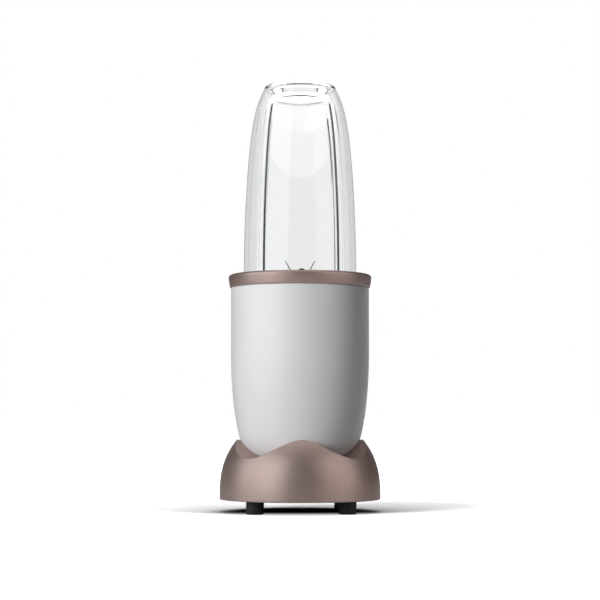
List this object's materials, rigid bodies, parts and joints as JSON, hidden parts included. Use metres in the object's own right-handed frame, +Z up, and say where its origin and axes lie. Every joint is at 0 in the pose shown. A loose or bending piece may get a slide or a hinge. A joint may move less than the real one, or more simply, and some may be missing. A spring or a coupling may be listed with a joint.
{
  "type": "countertop blender",
  "caption": "Personal blender: an upturned clear cup with a bladed screw-on holder, locked in the drive well of a white motor base with a wavy metallic skirt.",
  "frame": {"origin": "on the vertical axis, in the plane the feet stand on", "axes": "+Z up through the cup; the front faces -Y and the cord inlet faces +Y"},
  "size_m": [0.1466, 0.1464, 0.39],
  "materials": {
    "white_shell": "satin white",
    "rose_metal": "satin metallic rose",
    "black_plastic": "fine texture",
    "soft_rubber": "matt",
    "seal_rubber": "smooth",
    "gasket": "smooth silicone",
    "steel": "plated",
    "blade_steel": "ground stainless",
    "bearing_steel": "polished",
    "cast_alloy": "die cast",
    "laminations": "stacked sheet",
    "copper": "enamelled copper",
    "bronze": "sintered",
    "brush_box": "phenolic",
    "carbon": "graphite",
    "board": "solder mask",
    "capacitor": "dipped film",
    "ivory_plastic": "natural nylon",
    "switch_case": "moulded",
    "clear_cup": "clear copolyester"
  },
  "bodies": {
    "base": {"base_skirt": "rose_metal", "bearing_outer_races": "bearing_steel", "bottom_cover": "black_plastic", "brush_holders": "brush_box", "brush_springs": "steel", "carbon_brushes": "carbon", "circuit_board": "board", "cord_clamp": "black_plastic", "cord_gland": "soft_rubber", "cover_screws": "steel", "drive_well": "black_plastic", "feet": "soft_rubber", "field_coils": "copper", "filter_capacitor": "capacitor", "lower_bracket": "cast_alloy", "microswitches": "switch_case", "motor_bolts": "steel", "motor_housing": "white_shell", "motor_isolators": "soft_rubber", "stator_core": "laminations", "switch_bracket": "black_plastic", "thermal_cutout": "ivory_plastic", "top_ring": "rose_metal", "upper_bracket": "cast_alloy", "well_shaft_seal": "seal_rubber"},
    "motor_rotor": {"motor_shaft": "steel", "armature_core": "laminations", "armature_windings": "copper", "commutator": "copper", "cooling_fan": "black_plastic", "bearing_inner_races": "bearing_steel", "bearing_balls": "bearing_steel", "drive_coupling": "ivory_plastic"},
    "blade_carrier": {"blade_holder": "black_plastic", "cup_gasket": "gasket", "blade_bush": "bronze", "blade_seal": "seal_rubber"},
    "cup": {"cup": "clear_cup"},
    "blade_rotor": {"blade_shaft": "steel", "blade_upper": "blade_steel", "blade_lower": "blade_steel", "blade_washer": "steel", "blade_nut": "blade_steel", "driven_coupling": "ivory_plastic"},
    "plunger_1": {"plunger_1": "ivory_plastic", "plunger_spring_1": "steel"},
    "switch_lever_1": {"switch_lever_1": "steel"},
    "plunger_2": {"plunger_2": "ivory_plastic", "plunger_spring_2": "steel"},
    "switch_lever_2": {"switch_lever_2": "steel"},
    "plunger_3": {"plunger_3": "ivory_plastic", "plunger_spring_3": "steel"},
    "switch_lever_3": {"switch_lever_3": "steel"}
  },
  "joints": [
    {"name": "motor_spin", "type": "hinge", "parent": "base", "child": "motor_rotor", "pos_m": [0, 0, 0.1], "axis": [0, 0, 1], "continuous": true},
    {"name": "cup_lift", "type": "slide", "parent": "base", "child": "blade_carrier", "axis": [0, 0, 1], "range_m": [0, 0.1]},
    {"name": "blade_spin", "type": "hinge", "parent": "blade_carrier", "child": "blade_rotor", "pos_m": [0, 0, 0.2], "axis": [0, 0, 1], "continuous": true},
    {"name": "cup_twist", "type": "hinge", "parent": "blade_carrier", "child": "cup", "pos_m": [0, 0, 0.2], "axis": [0, 0, 1], "range_deg": [-18, 0]},
    {"name": "plunger_press_1", "type": "slide", "parent": "base", "child": "plunger_1", "axis": [0, 0, -1], "range_m": [0, 0.003], "stiffness_N_per_m": 250, "deforming": ["plunger_spring_1"]},
    {"name": "lever_tilt_1", "type": "hinge", "parent": "base", "child": "switch_lever_1", "pos_m": [0.05516, 0.01368, 0.1529], "axis": [0.9336, 0.3584, 0], "range_deg": [-21.5, 0], "stiffness_Nm_per_rad": 0.002},
    {"name": "plunger_press_2", "type": "slide", "parent": "base", "child": "plunger_2", "axis": [0, 0, -1], "range_m": [0, 0.003], "stiffness_N_per_m": 250, "deforming": ["plunger_spring_2"]},
    {"name": "lever_tilt_2", "type": "hinge", "parent": "base", "child": "switch_lever_2", "pos_m": [-0.03943, 0.04093, 0.1529], "axis": [-0.7771, 0.6293, 0], "range_deg": [-21.5, 0], "stiffness_Nm_per_rad": 0.002},
    {"name": "plunger_press_3", "type": "slide", "parent": "base", "child": "plunger_3", "axis": [0, 0, -1], "range_m": [0, 0.003], "stiffness_N_per_m": 250, "deforming": ["plunger_spring_3"]},
    {"name": "lever_tilt_3", "type": "hinge", "parent": "base", "child": "switch_lever_3", "pos_m": [-0.01574, -0.05461, 0.1529], "axis": [-0.1564, -0.9877, 0], "range_deg": [-21.5, 0], "stiffness_Nm_per_rad": 0.002}
  ],
  "couplings": [
    {"joint": "blade_spin", "follows": "motor_spin", "ratio": 1},
    {"joint": "plunger_press_1", "follows": "cup_twist", "m_per_rad": -0.0095175},
    {"joint": "lever_tilt_1", "follows": "cup_twist", "ratio": 1.1833},
    {"joint": "plunger_press_2", "follows": "cup_twist", "m_per_rad": -0.0095175},
    {"joint": "lever_tilt_2", "follows": "cup_twist", "ratio": 1.1833},
    {"joint": "plunger_press_3", "follows": "cup_twist", "m_per_rad": -0.0095175},
    {"joint": "lever_tilt_3", "follows": "cup_twist", "ratio": 1.1833}
  ]
}
